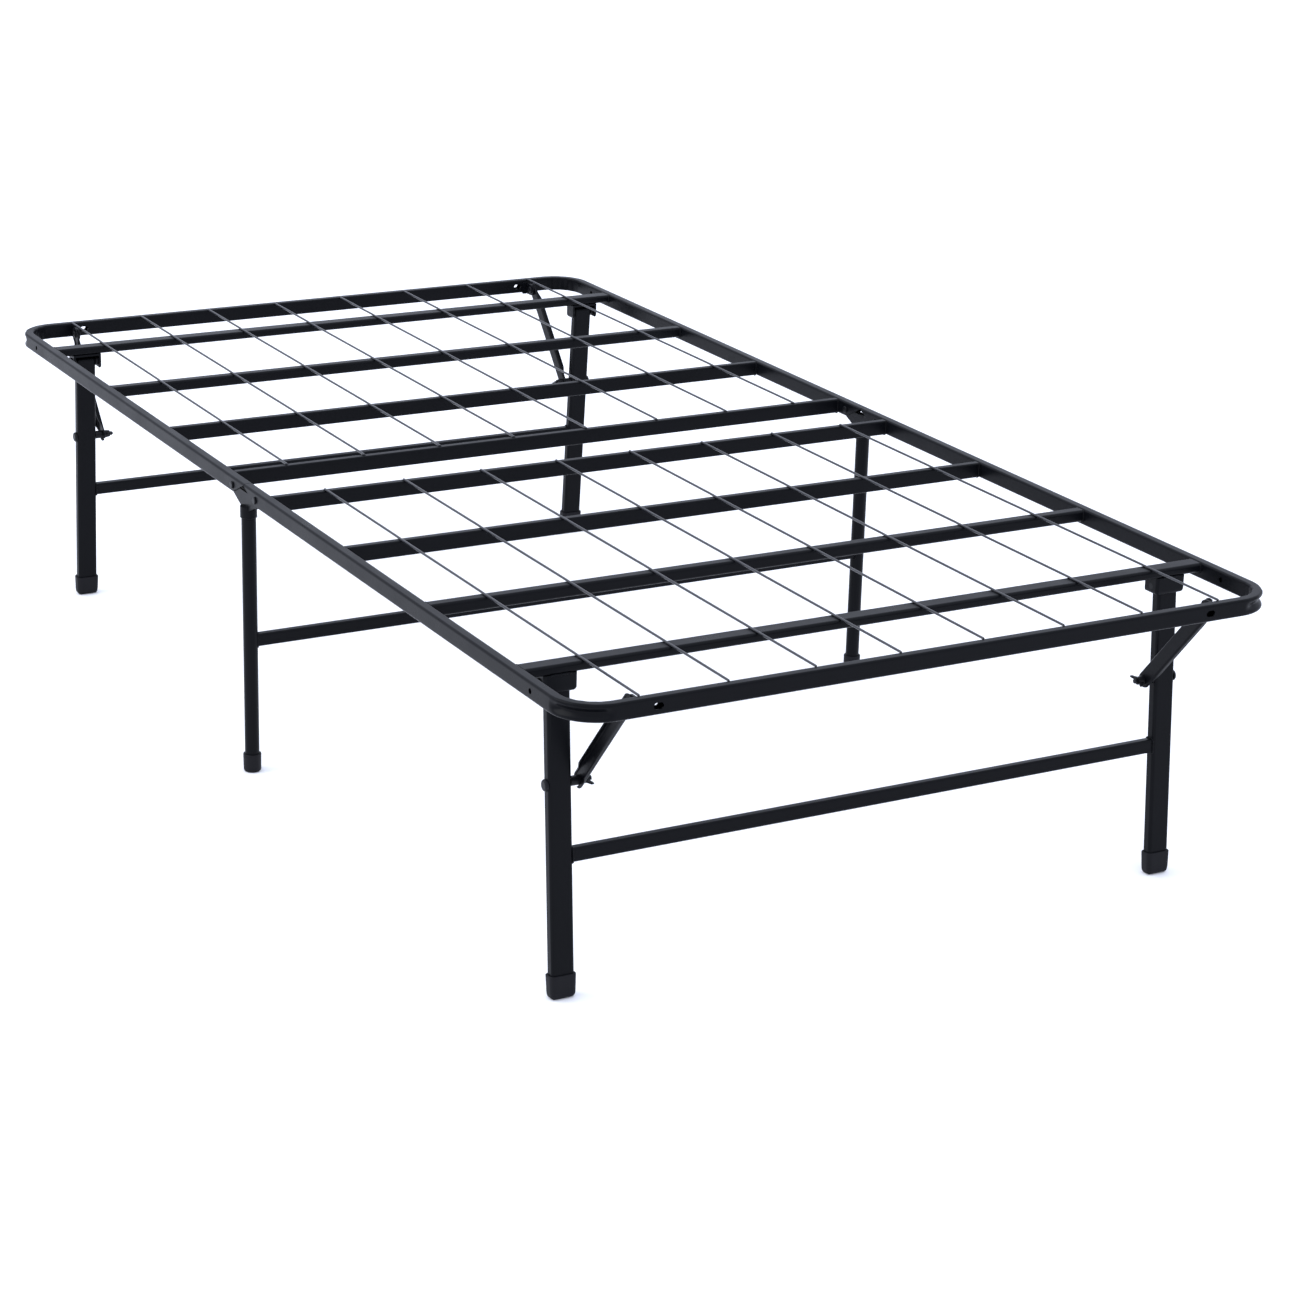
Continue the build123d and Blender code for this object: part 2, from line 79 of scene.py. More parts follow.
def coat(name, thin, thick, rough, peel_mm, peel_high_mm, grain_mm, shine, ior=1.5, metal=0.0):
    """A black skin: its thickness clouds the tone and the gloss, and its peel bends highlights."""
    cloud_mm, glossier, duller, speckle = 60, 0.04, 0.05, 0.03
    made = bpy.data.materials.new(name)
    made.use_nodes = True
    tree = made.node_tree
    tree.nodes.clear()
    place = add(tree, "TexCoord").outputs["Object"]
    peel = add(tree, "TexNoise", {"Vector": place, "Scale": 1 / (peel_mm * MM), "Detail": 2.0,
                                  "Roughness": 0.45}).outputs["Fac"]
    cloud = add(tree, "TexNoise", {"Vector": place, "Scale": 1 / (cloud_mm * MM), "Detail": 3.0,
                                   "Roughness": 0.55}).outputs["Fac"]
    grain = add(tree, "TexVoronoi", {"Vector": place, "Scale": 1 / (grain_mm * MM)})
    tone = add(tree, "Mix", {"Factor": cloud, 6: linear(thick), 7: linear(thin)}, data_type="RGBA")
    gloss = add(tree, "MapRange", {"Value": cloud, "From Min": 0.3, "From Max": 0.7,
                                   "To Min": rough - glossier, "To Max": rough + duller})
    speck = add(tree, "MapRange", {"Value": grain.outputs["Distance"], "From Max": 0.8,
                                   "To Min": -speckle, "To Max": speckle})
    total = add(tree, "Math", {0: gloss.outputs[0], 1: speck.outputs[0]}, operation="ADD")
    bump = add(tree, "Bump", {"Height": peel, "Strength": 1.0, "Distance": peel_high_mm * MM})
    skin = add(tree, "BsdfPrincipled", {
        "Base Color": tone.outputs[2], "Roughness": total.outputs[0], "Metallic": metal,
        "Normal": bump.outputs[0], "Specular IOR Level": shine, "IOR": ior})
    add(tree, "OutputMaterial", {"Surface": skin.outputs[0]})
    made.diffuse_color = linear(thin)
    return made


# Polyester powder coat, sprayed dry and stoved: near black with a breath of blue, satin,
# with a faint peel 2 mm across that keeps long highlights from looking ruled. Its real grain
# is a tenth of a millimetre, too fine to show, so it is drawn at 0.9 mm.
powder = coat("black_polyester_powder_coat", "#0b0c10", "#08090b", 0.31, 2.2, 0.045, 0.9, 0.08)


def dress(made, material):
    """Gives an object this one finish in place of any it had."""
    made.data.materials.clear()
    made.data.materials.append(material)


def turns(count):
    """Equal steps of angle round a circle."""
    return [2 * pi * k / count for k in range(count)]


def circle(radius, steps, p=0.0, q=0.0):
    return [(p + radius * cos(t), q + radius * sin(t)) for t in turns(steps)]


def ease(value):
    """A smooth step from 0 to 1."""
    value = min(max(value, 0.0), 1.0)
    return value * value * (3 - 2 * value)


def round_box(wide, high, corner, steps=4, sides=1):
    """A rounded rectangle as (u, v) points; sides is the number of cuts along its +u wall."""
    a, b = wide / 2 - corner, high / 2 - corner
    points = []
    for cx, cy, start in ((a, -b, -90), (a, b, 0), (-a, b, 90), (-a, -b, 180)):
        for i in range(steps + 1):
            turn = radians(start + 90 * i / steps)
            points.append((cx + corner * cos(turn), cy + corner * sin(turn)))
        if (cx, cy) == (a, -b):
            points += [(wide / 2, -b + 2 * b * i / sides) for i in range(1, sides)]
    return points


def loft(bm, rings, loop=False, caps=True):
    """Skins rings of equal length, in millimetres, and closes both ends."""
    rows = [[bm.verts.new(p) for p in ring] for ring in rings]
    count = len(rows[0])
    for low, high in list(zip(rows, rows[1:])) + ([(rows[-1], rows[0])] if loop else []):
        for i in range(count):
            j = (i + 1) % count
            bm.faces.new((low[i], low[j], high[j], high[i]))
    if caps and not loop:
        bm.faces.new(rows[0][::-1])
        bm.faces.new(rows[-1])
    return rows


def prism(bm, outline, across, start, end):
    """A closed block: outline gives (p, q) points, and across turns (p, q, depth) to a place."""
    loft(bm, [[across(p, q, d) for p, q in outline] for d in (start, end)])


def piece(name, bm, material, body, stands_for=(), cutters=(), crease=38, mirrored=(1, 1)):
    """Turns a millimetre mesh into a finished piece on its body; cutters are taken out of it."""
    def to_object(source, label):
        bmesh.ops.remove_doubles(source, verts=source.verts, dist=0.0005)
        bmesh.ops.scale(source, vec=(mirrored[0] * MM, mirrored[1] * MM, MM), verts=source.verts)
        bmesh.ops.recalc_face_normals(source, faces=source.faces)
        if source.calc_volume(signed=True) < 0:
            bmesh.ops.reverse_faces(source, faces=source.faces)
        mesh = bpy.data.meshes.new(label)
        source.to_mesh(mesh)
        source.free()
        solid = bpy.data.objects.new(label, mesh)
        bpy.context.scene.collection.objects.link(solid)
        return solid

    made = to_object(bm, name)
    for cutter in cutters:
        tool = to_object(cutter, name + "_cut")
        cut = made.modifiers.new("cut", "BOOLEAN")
        cut.operation, cut.solver, cut.object = "DIFFERENCE", "EXACT", tool
        whole = bpy.data.meshes.new_from_object(
            made.evaluated_get(bpy.context.evaluated_depsgraph_get()))
        made.modifiers.clear()
        made.data = whole
        bpy.data.objects.remove(tool)
    dress(made, material)
    made.data.shade_smooth()
    made.data.set_sharp_from_angle(angle=radians(crease))
    made.modifiers.new("even_shading", "WEIGHTED_NORMAL").keep_sharp = True
    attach(made, body)
    if stands_for:
        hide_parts(*stands_for)


def rail_stations():
    """Places along the bent centre line: point, outward direction, groove's and bend's shares."""
    bend_x, bend_y = SIDE_X - BEND_R, END_Y - BEND_R
    stations = [(-SIDE_X, y, -1.0, 0.0, 0.0, 0.0)
                for y in (BUTT_Y, 30, 60, 160, 400, 700, bend_y - 12)]
    for i in range(BEND_STEPS + 1):
        bent = i / BEND_STEPS
        turn = pi - pi / 2 * bent
        share = ease(bent / GROOVE_FADE) * ease((1 - bent) / GROOVE_FADE)
        stations.append((-bend_x + BEND_R * cos(turn), bend_y + BEND_R * sin(turn),
                         cos(turn), sin(turn), share, bent))
    stations += [(x, END_Y, 0.0, 1.0, 0.0, 0.0) for x in (-bend_x + 12, -380, -200, 0)]
    return stations + [(-x, y, -ux, uy, share, bent)
                       for x, y, ux, uy, share, bent in stations[-2::-1]]


def rail_skin(bm, trim):
    """One skin of the tube; trim is how far it lies inside the outer faces."""
    outline = round_box(RAIL_WIDE - 2 * trim, RAIL_HIGH - 2 * trim, RAIL_CORNER - trim, sides=16)
    rings = []
    for x, y, ux, uy, share, bent in rail_stations():
        ring = []
        for u, v in outline:
            if u > 0 and abs(v) < GROOVE_HALF:
                u -= share * GROOVE_DEEP * cos(pi * v / (2 * GROOVE_HALF)) ** 2
            elif u < 0 and share:       # the inner wall ripples where the bend squeezes it
                u += RIPPLE_HIGH * share * cos(2 * pi * RIPPLE_WAVES * bent)
            elif share and v > 0:       # the upper lip is left a little uneven
                u -= LIP_HIGH * share * (1 + cos(2 * pi * LIP_WAVES * bent))
            ring.append((x + u * ux, y + u * uy, RAIL_Z + v))
        rings.append(ring)
    return loft(bm, rings, caps=False)


def rail_cutters():
    """The slope under the butt, the opening for the hinge plates, and all the holes."""
    slope, opening, holes = bmesh.new(), bmesh.new(), bmesh.new()
    through, inside = RAIL_WIDE / 2 + 2, RAIL_WIDE / 2 - RAIL_WALL
    for side in (-1, 1):
        across = lambda p, q, d, x=side * SIDE_X: (x + d, p, q)
        prism(slope, SLOPE_CUT, across, -through, through)
        prism(opening, FLOOR_CUT, across, -inside, inside)
        prism(holes, circle(RIVET_HOLE_R, 28, RIVET_Y, RIVET_Z), across, -through, through)
        prism(holes, circle(SIDE_HOLE_R, 28, SIDE_HOLE_Y, RAIL_Z), across, -through, through)
        slot = [(side * SLOT_X + p + (SLOT_REACH if p >= 0 else -SLOT_REACH), RAIL_Z + q)
                for p, q in circle(SLOT_END_R, 32)]
        prism(holes, slot, lambda p, q, d: (p, d, q), END_Y - through, END_Y + through)
    return slope, opening, holes


for half, way in HALVES.items():
    rail_bm = bmesh.new()
    outer, inner = rail_skin(rail_bm, 0.0), rail_skin(rail_bm, RAIL_WALL)
    for outside, inside in ((outer[0], inner[0]), (outer[-1], inner[-1])):
        for i in range(len(outside)):
            j = (i + 1) % len(outside)
            rail_bm.faces.new((outside[i], outside[j], inside[j], inside[i]))
    piece(half + "_bent_rail", rail_bm, powder, half + "_half",
          [half + "_rail"], rail_cutters(), mirrored=(1, way))

# ---------------------------------------------------------------------------------------
# Cross tubes. Four rounded rectangular tubes a half, cut square and welded to the rails'
# inner walls. The bars themselves are as drawn in the CAD; the weld beads are added here.
# MIG welds under powder: the same coat, over a bead whose ripples follow the torch.
BARS = {1: (798.0, 25.0, 12.0), 2: (550.0, 18.0, 16.0), 3: (306.0, 12.0, 21.0),
        4: (66.0, 12.0, 21.0)}                     # each bar's place along y, width and height
BAR_TOP, BAR_END_X, BAR_CORNER = 411.0, 480.0, 3.0
BEAD_SIDES, BEAD_RIPPLE, BAR_BEAD_R, BAR_BEAD_IN = 8, 1.7, 1.5, 0.6


def weld_bead(bm, path, radius):
    """A bead along a path in millimetres: a swept round that swells at every ripple."""
    points = [Vector(p) for p in path]
    walk = [points[0]]
    for a, b in zip(points, points[1:]):
        steps = max(1, round((b - a).length / (BEAD_RIPPLE / 4)))
        walk += [a.lerp(b, i / steps) for i in range(1, steps + 1)]
    rings, gone = [], 0.0
    for i, here in enumerate(walk):
        if i:
            gone += (here - walk[i - 1]).length
        ahead = (walk[min(i + 1, len(walk) - 1)] - walk[max(i - 1, 0)]).normalized()
        side = ahead.orthogonal().normalized()
        other = ahead.cross(side)
        taper = min(1, 0.35 + 0.2 * min(i, len(walk) - 1 - i))     # both ends run out thin
        size = radius * (0.9 + 0.13 * cos(2 * pi * gone / BEAD_RIPPLE)) * taper
        rings.append([here + size * (cos(t) * side + sin(t) * other) for t in turns(BEAD_SIDES)])
    for i in range(1, len(rings)):      # keep each ring's first point beside the last ring's
        turn = min(range(BEAD_SIDES), key=lambda k: (rings[i][k] - rings[i - 1][0]).length)
        rings[i] = rings[i][turn:] + rings[i][:turn]
    loft(bm, rings)


for half, way in HALVES.items():
    for number in BARS:
        dress(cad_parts[f"{half}_crossbar_{number}"], powder)
    bead_bm = bmesh.new()
    for y, wide, high in BARS.values():
        low, half_wide = BAR_TOP - high, wide / 2
        wall = [(half_wide - BAR_CORNER - 0.5, BAR_TOP - 0.2),
                (half_wide + 0.1, BAR_TOP - BAR_CORNER - 0.2),
                (half_wide + 0.1, low + BAR_CORNER), (half_wide - BAR_CORNER, low)]
        for side in (-1, 1):            # the top face, under the wires, is left clean
            end_x = side * (BAR_END_X - BAR_BEAD_IN)
            weld_bead(bead_bm, [(end_x, y - v, z) for v, z in wall]
                      + [(end_x, y + v, z) for v, z in wall[::-1]], BAR_BEAD_R)
    piece(half + "_crossbar_welds", bead_bm, powder, half + "_half",
          crease=60, mirrored=(1, way))

# ---------------------------------------------------------------------------------------
# Mattress wires. Hard-drawn steel wire, 3.2 mm thick, straightened and cut, then resistance
# welded down on every cross tube and on the end rail, so it sinks a little at each weld and
# squeezes out a small fin of metal on both sides. Coated in the same spray as the rails.
WIRE_R, WIRE_SIDES, WIRE_PITCH, WIRE_Z = 1.6, 14, 115.5, 412.4
WIRE_XS = [(i - 3.5) * WIRE_PITCH for i in range(8)]
WIRE_START = [(64.6, 0.3), (64.9, 0.75), (65.8, 1.0)]       # (y, share of the radius), since
WIRE_STOP = [(939.4, 1.0), (940.5, 0.75), (940.9, 0.3)]     # both ends are a little rounded
WIRE_STEP = 6
SINK, SINK_REACH = 0.25, 14.0
FIN_WIDE, FIN_LONG, FIN_HIGH, FIN_IN = 1.5, 2.6, 0.75, 0.15

# The wire's coat is drawn a lighter grey than the rails' as a painted sheen: the highlight along its
# whole length is painted into its colour. Its grain is drawn coarser than it is, like that of the
# rails.
wire_coat_painted_sheen = coat("black_coated_drawn_wire_painted_sheen", "#2c2d31", "#212226", 0.30, 3.0, 0.03, 0.7, 0.5)


def dome(bm, centre, rx, ry, rz):
    """A low mound: the squeezed metal beside a spot weld."""
    rings = []
    for level in (0.0, 0.35, 0.65, 0.88, 0.98):
        spread = (1 - level ** 2) ** 0.5
        rings.append([(centre[0] + rx * spread * cos(t), centre[1] + ry * spread * sin(t),
                       centre[2] + rz * level) for t in turns(12)])
    loft(bm, rings)


for half, way in HALVES.items():
    wire_bm, fin_bm = bmesh.new(), bmesh.new()
    welds = [values[0] for values in BARS.values()]
    swells = WIRE_START + [(y, 1.0) for y in range(70, 936, WIRE_STEP)] + WIRE_STOP
    for x in WIRE_XS:
        rings = []
        for y, swell in swells:
            near = min(abs(y - weld) for weld in welds)
            z = WIRE_Z - SINK * (1 - ease(near / SINK_REACH))
            rings.append([(x + swell * WIRE_R * cos(t), y, z + swell * WIRE_R * sin(t))
                          for t in turns(WIRE_SIDES)])
        loft(wire_bm, rings)
        for y in welds:
            for side in (-1, 1):
                dome(fin_bm, (x + side * FIN_WIDE, y, BAR_TOP - FIN_IN), FIN_WIDE, FIN_LONG, FIN_HIGH)
    piece(half + "_mattress_wires", wire_bm, wire_coat_painted_sheen, half + "_half",
          [half + "_wires"], mirrored=(1, way))
    piece(half + "_wire_welds", fin_bm, powder, half + "_half",
          crease=70, mirrored=(1, way))

# ---------------------------------------------------------------------------------------
# Centre hinge. Two pressed steel plates on each side stand inside the open rail ends, riveted
# to both halves and welded below to a collar on the centre leg. Plates are as in the CAD;
# bevels soften their pressed edges. The rivets are steel, blacked before they were closed.
SIDES = {"left": -1, "right": 1}
PLATE_EDGE = 0.6

# Black oxide on steel: a thin dark skin that lets the metal's own sheen through. Its real
# texture is far finer than the 0.5 mm grain drawn here so that it shows.
black_oxide = coat("black_oxide_steel", "#111216", "#0b0c0e", 0.38, 0.9, 0.02, 0.5, 0.2, metal=0.3)


def soften(node, width_mm):
    """Rounds a CAD node's sharp edges the way a press or a tumbling barrel leaves them."""
    edge = node.modifiers.new("soft_edges", "BEVEL")
    edge.width, edge.segments, edge.limit_method = width_mm * MM, 2, "ANGLE"
    edge.angle_limit = radians(50)


for side in SIDES:
    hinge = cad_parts[f"centre_{side}_hinge"]
    dress(hinge, powder)
    soften(hinge, PLATE_EDGE)
dress(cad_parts["centre_hinge_pins"], black_oxide)

# ---------------------------------------------------------------------------------------
# Centre legs. Round steel tubes with a rectangular tube coped and welded between them, and
# a pushed-on foot of moulded polyethylene. The tubes are as in the CAD.
CENTRE_X, CENTRE_BAR_Z, CENTRE_TUBE_R = 487.0, 190.0, 10.0
COPE_WIDE, COPE_HIGH, COPE_CORNER, COPE_BEAD_R = 14.4, 19.4, 3.4, 1.3
COLLAR_Z, COLLAR_R, COLLAR_BEAD_R = 366.2, 10.9, 0.9
FOOT_PROFILE = [(0.5, 0), (8.6, 0), (10.1, 0.25), (11.3, 1.2), (12.0, 2.8), (12.2, 5),
                (12.35, 12), (12.5, 22.5), (12.5, 24.6), (12.2, 25.6), (11.5, 26),
                (10.6, 26), (10.05, 25.4), (10.02, 8), (0.5, 7.2)]      # (radius, height)

# Low-density polyethylene, injection moulded in a spark-eroded cavity: a dry, even black
# that spreads its highlights wider than the coat does. The eroded grain is drawn at 0.45 mm,
# several times its real size, to show.
polyethylene = coat("moulded_black_polyethylene", "#131317", "#0e0e11", 0.55, 0.7, 0.03, 0.45, 0.14,
                    ior=1.51)


def lathe(bm, profile, place, steps=40, loop=False):
    """Turns (radius, height) points about an axis; place turns (a, b, height) to a position."""
    loft(bm, [[place(r * cos(t), r * sin(t), h) for t in turns(steps)] for r, h in profile], loop)


for name in ("centre_left_leg", "centre_right_leg", "centre_stretcher"):
    dress(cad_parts[name], powder)

cope_bm = bmesh.new()
cope = round_box(COPE_WIDE, COPE_HIGH, COPE_CORNER, 9)
for way in SIDES.values():
    # the stretcher's outline wrapped on the round tube, then a ring under the collar
    weld_bead(cope_bm, [(way * (CENTRE_X - (CENTRE_TUBE_R ** 2 - u ** 2) ** 0.5 - 0.2),
                         u, CENTRE_BAR_Z + v) for u, v in cope + cope[:1]], COPE_BEAD_R)
    weld_bead(cope_bm, [(way * CENTRE_X + COLLAR_R * cos(t), COLLAR_R * sin(t), COLLAR_Z)
                        for t in turns(48) + [2 * pi]], COLLAR_BEAD_R)
piece("centre_leg_welds", cope_bm, powder, "centre_legs", crease=60)

for side, way in SIDES.items():
    foot_bm = bmesh.new()
    lathe(foot_bm, FOOT_PROFILE, lambda a, b, h, way=way: (way * CENTRE_X + a, b, h))
    piece(f"centre_{side}_moulded_foot", foot_bm, polyethylene, "centre_legs",
          [f"centre_{side}_foot_cap"], crease=50)

# ---------------------------------------------------------------------------------------
# End legs. Rectangular steel tubes, closed and rounded on top, joined by a welded stretcher;
# each pair swings in two pressed hangers under the first cross tube, on steel pins with
# nylon spacers. The feet of both tubes sit in moulded shoes cut level with the floor.
LEG_X, PIVOT_Y, PIVOT_Z, SPLAY = 434.0, 798.0, 386.0, radians(4.0)
LEG_LONG = PIVOT_Z / cos(SPLAY)
SHOE_WIDE, SHOE_DEEP, SHOE_FULL, SOLE_Z = 35.0, 20.0, 6.2, 0.02
SHOE_LEVELS = ((0, 0), (1.6, 0.25), (3.2, 1.3), (4.6, 3.2), (5.2, 5.4), (5.6, 9), (6.0, 20),
               (6.2, 27.8), (6.2, 29), (5.7, 29.8), (5.0, 30))      # (growth, height)
SHOE_SOCKET = ((31.4, 16.4, 30.0), (30.3, 15.3, 29.3), (30.1, 15.1, 8.0))
HANGER_HALF, HANGER_OUT, HANGER_WALL, HANGER_CORNER = 22.0, 12.5, 3.0, 4.0
HANGER_TOP, HANGER_ROLL_Z, HANGER_ROLL, HANGER_ROLL_IN = 399.0, 382.0, 5.0, 2.4
PIN_HOLE_R = 4.0
STRETCHER_Z, STRETCHER_X, CHEEK_BEAD_R, LEG_BEAD_R = 175.0, 15.2, 1.4, 1.3

# Moulded natural nylon, dyed black: a little glossier than the feet, with its fine grain
# drawn at 0.4 mm so that it shows.
nylon = coat("moulded_black_nylon", "#121215", "#0d0d0f", 0.45, 0.6, 0.02, 0.4, 0.18, ior=1.53)


def on_leg(u, v, w):
    """A place given about a leg's pivot: u across, v outward, w up along the tube."""
    return (u - LEG_X, PIVOT_Y + v * cos(SPLAY) - w * sin(SPLAY),
            PIVOT_Z + v * sin(SPLAY) + w * cos(SPLAY))


def shoe(bm):
    """A shoe with draft, a rounded sole and a rolled rim round the tube's socket."""
    outlines = [(round_box(SHOE_WIDE - 2 * (SHOE_FULL - grow), SHOE_DEEP - 2 * (SHOE_FULL - grow),
                           max(1.2, min(grow, 6.0)), 5), high) for grow, high in SHOE_LEVELS]
    outlines += [(round_box(wide, deep, 4.0, 5), high) for wide, deep, high in SHOE_SOCKET]
    rows = loft(bm, [[on_leg(u, v, high - LEG_LONG) for u, v in outline]
                     for outline, high in outlines])
    for row in rows:            # the sole is flat on the floor although the tube leans
        for vert in row:
            vert.co.z = max(vert.co.z, SOLE_Z)


def hanger_ring(trim, corner, z):
    """A U seen from above: open towards the centre, closed outward."""
    wide, out = HANGER_HALF - trim, HANGER_OUT - trim
    points = [(-wide, -HANGER_OUT)]
    for centre, start in ((corner - wide, 180), (wide - corner, 90)):
        points += [(centre + corner * cos(t), out - corner + corner * sin(t))
                   for t in (radians(start - 18 * i) for i in range(6))]
    points.append((wide, -HANGER_OUT))
    return [(u - LEG_X, PIVOT_Y + v, z) for u, v in points]


def hanger(bm):
    """A pressed cup: outer wall and two cheeks, with rounded lower corners and bend radii."""
    skins = []
    for trim in (0.0, HANGER_WALL):
        corner = HANGER_CORNER - trim
        rings = [hanger_ring(trim, corner, z)
                 for z in (HANGER_TOP - trim, 396, 392, 388, 384, HANGER_ROLL_Z)]
        for i in range(1, 7):       # the lower edge is rolled in on the outside only
            t = radians(15 * i)
            rolled = 0.0 if trim else HANGER_ROLL_IN * (1 - cos(t))
            rings.append(hanger_ring(trim + rolled, corner, HANGER_ROLL_Z - HANGER_ROLL * sin(t)))
        skins.append([[bm.verts.new(p) for p in ring] for ring in rings])
        for low, high in zip(skins[-1], skins[-1][1:]):
            for i in range(len(low) - 1):
                bm.faces.new((low[i], low[i + 1], high[i + 1], high[i]))
    outer, inner = skins
    for i in range(len(outer[0]) - 1):
        bm.faces.new((outer[-1][i], outer[-1][i + 1], inner[-1][i + 1], inner[-1][i]))
    for edge in (0, -1):
        for k in range(len(outer) - 1):
            bm.faces.new((outer[k][edge], outer[k + 1][edge], inner[k + 1][edge], inner[k][edge]))
    bm.faces.new(outer[0])
    bm.faces.new(inner[0])
    bm.faces.new((outer[0][0], outer[0][-1], inner[0][-1], inner[0][0]))


def hanger_beads(bm):
    """One bead along the outer wall's top and one along each cheek, against the cross tube."""
    for u in (-HANGER_HALF + 0.2, HANGER_HALF - 0.2):
        weld_bead(bm, [(u - LEG_X, PIVOT_Y + v, HANGER_TOP - 0.3) for v in (-10, 8)], CHEEK_BEAD_R)
    weld_bead(bm, [(u - LEG_X, PIVOT_Y + HANGER_OUT - 0.2, HANGER_TOP - 0.1) for u in (-14, 14)],
              LEG_BEAD_R)


for half, way in HALVES.items():
    for side, across in SIDES.items():
        mirrored = (-across, way)
        shoe_bm, hanger_bm, hole_bm = bmesh.new(), bmesh.new(), bmesh.new()
        weld_bm, joint_bm = bmesh.new(), bmesh.new()
        shoe(shoe_bm)
        piece(f"{half}_{side}_moulded_shoe", shoe_bm, polyethylene, half + "_leg_frame",
              [f"{half}_{side}_foot_cap"], crease=50, mirrored=mirrored)
        hanger(hanger_bm)
        prism(hole_bm, circle(PIN_HOLE_R, 32, PIVOT_Y, PIVOT_Z), lambda p, q, d: (d - LEG_X, p, q),
              -HANGER_HALF - 4, HANGER_HALF + 4)
        piece(f"{half}_{side}_pressed_hanger", hanger_bm, powder, half + "_half",
              [f"{half}_{side}_leg_hanger"], [hole_bm], mirrored=mirrored)
        hanger_beads(weld_bm)
        piece(f"{half}_{side}_hanger_welds", weld_bm, powder, half + "_half",
              crease=60, mirrored=mirrored)
        drop = (STRETCHER_Z - PIVOT_Z) / cos(SPLAY)
        ring = [on_leg(STRETCHER_X, u, v + drop) for u, v in round_box(14.2, 19.2, 3.6, 6)]
        weld_bead(joint_bm, ring + ring[:1], LEG_BEAD_R)
        piece(f"{half}_{side}_stretcher_weld", joint_bm, powder, half + "_leg_frame",
              crease=60, mirrored=mirrored)
        dress(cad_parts[f"{half}_{side}_leg"], powder)
    for name, skin in (("stretcher", powder), ("hanger_pins", black_oxide),
                       ("hanger_spacers", nylon)):
        dress(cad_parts[f"{half}_{name}"], skin)

# ---------------------------------------------------------------------------------------
# Braces. Pressed steel channels, riveted to an ear welded inside the end rail; a fork at the
# lower end drops over the leg's bolt, where a sleeve spaces it and a wing nut clamps it.
BRACE_Y, BRACE_Z, BOLT_Z = 921.0, 398.0, 264.0
BOLT_Y = PIVOT_Y + (PIVOT_Z - BOLT_Z) * tan(SPLAY)
BRACE_HALF, BRACE_STEEL, BRACE_BEND, BRACE_DEEP = 10.5, 2.0, 3.0, 7.0
BRACE_X = -(LEG_X - HANGER_HALF - 0.6 - BRACE_DEEP)     # outer face, which the wing nut bears on
BRACE_RIM = BRACE_BEND + 0.2    # the pressed edge still stands this high where the flanges end
BRACE_TIP_HALF = 3.6
BRACE_LONG = hypot(BRACE_Y - BOLT_Y, BRACE_Z - BOLT_Z)
LEAN = atan2(BRACE_Y - BOLT_Y, BRACE_Z - BOLT_Z)
FLANGE_FROM, FLANGE_FADE = 8.0, 18.0
EYE_R, THROAT_R, THROAT_LONG = 3.05, 4.0, 15.0
NUT_IN, NUT_TURNS = 0.4, (75, 255)
NUT_HUB = [(3.05, 0), (6.0, 0), (6.0, 1.6), (5.5, 5.5), (4.9, 9), (3.9, 9), (3.05, 8.2)]
NUT_WING = ((3.2, 0.8, 8.2, 1.5), (5.0, 1.2, 9.0, 1.5), (7.0, 3.0, 10.2, 1.35),
            (9.0, 5.2, 11.2, 1.25), (11.0, 6.8, 11.8, 1.2), (12.0, 7.6, 11.8, 1.1),
            (12.4, 8.4, 11.2, 0.7))                 # (from the axis, low, high, half thickness)
EAR_Y, EAR_BEAD_DROP, EAR_BEAD_R, EAR_EDGE = 938.0, 9.0, 1.2, 0.5


def on_brace(depth, v, w):
    """A place given about the brace's rivet: depth towards the leg, v across, w down its length."""
    return (BRACE_X - depth, BRACE_Y + v * cos(LEAN) - w * sin(LEAN),
            BRACE_Z - v * sin(LEAN) - w * cos(LEAN))


def brace_section(half_wide, rise):
    """The channel's outline: a web, two bend radii and two flanges of the given rise."""
    points = []
    for grow, order in ((0.0, 1), (BRACE_STEEL, -1)):
        radius, edge = BRACE_BEND - grow, half_wide - grow
        row = [(rise, -edge)]
        row += [(grow + radius - radius * sin(t), radius - edge - radius * cos(t))
                for t in (radians(18 * i) for i in range(6))]
        row += [(d, -v) for d, v in row[::-1]]
        points += row[::order]
    return points


def brace_mesh(bm):
    """The channel from its round upper end to its round lower end."""
    rings = []
    round_end = [BRACE_HALF * cos(radians(9 * k)) for k in range(1, 11)]
    run = [BRACE_LONG * i / 60 for i in range(1, 60)]
    for w in [-e for e in round_end] + run + [BRACE_LONG + e for e in round_end[::-1]]:
        past = max(-w, w - BRACE_LONG, 0.0)
        half_wide = max((BRACE_HALF ** 2 - past ** 2) ** 0.5, BRACE_TIP_HALF)
        full = (ease((w - FLANGE_FROM) / FLANGE_FADE)
                * ease((BRACE_LONG - FLANGE_FROM - w) / FLANGE_FADE))
        rise = BRACE_RIM + (BRACE_DEEP - BRACE_RIM) * full
        rings.append([on_brace(d, v, w) for d, v in brace_section(half_wide, rise)])
    loft(bm, rings)


def brace_cutter(bm):
    """The rivet's hole and the fork's throat, which is open downwards."""
    deep = (-3, BRACE_DEEP + 2)
    prism(bm, circle(EYE_R, 28), lambda p, q, d: on_brace(d, p, q), *deep)
    throat = [(-THROAT_R, THROAT_LONG), (THROAT_R, THROAT_LONG)]
    throat += [(THROAT_R * cos(t), -THROAT_R * sin(t)) for t in (pi * k / 12 for k in range(13))]
    prism(bm, throat, lambda p, q, d: on_brace(d, p, BRACE_LONG + q), *deep)


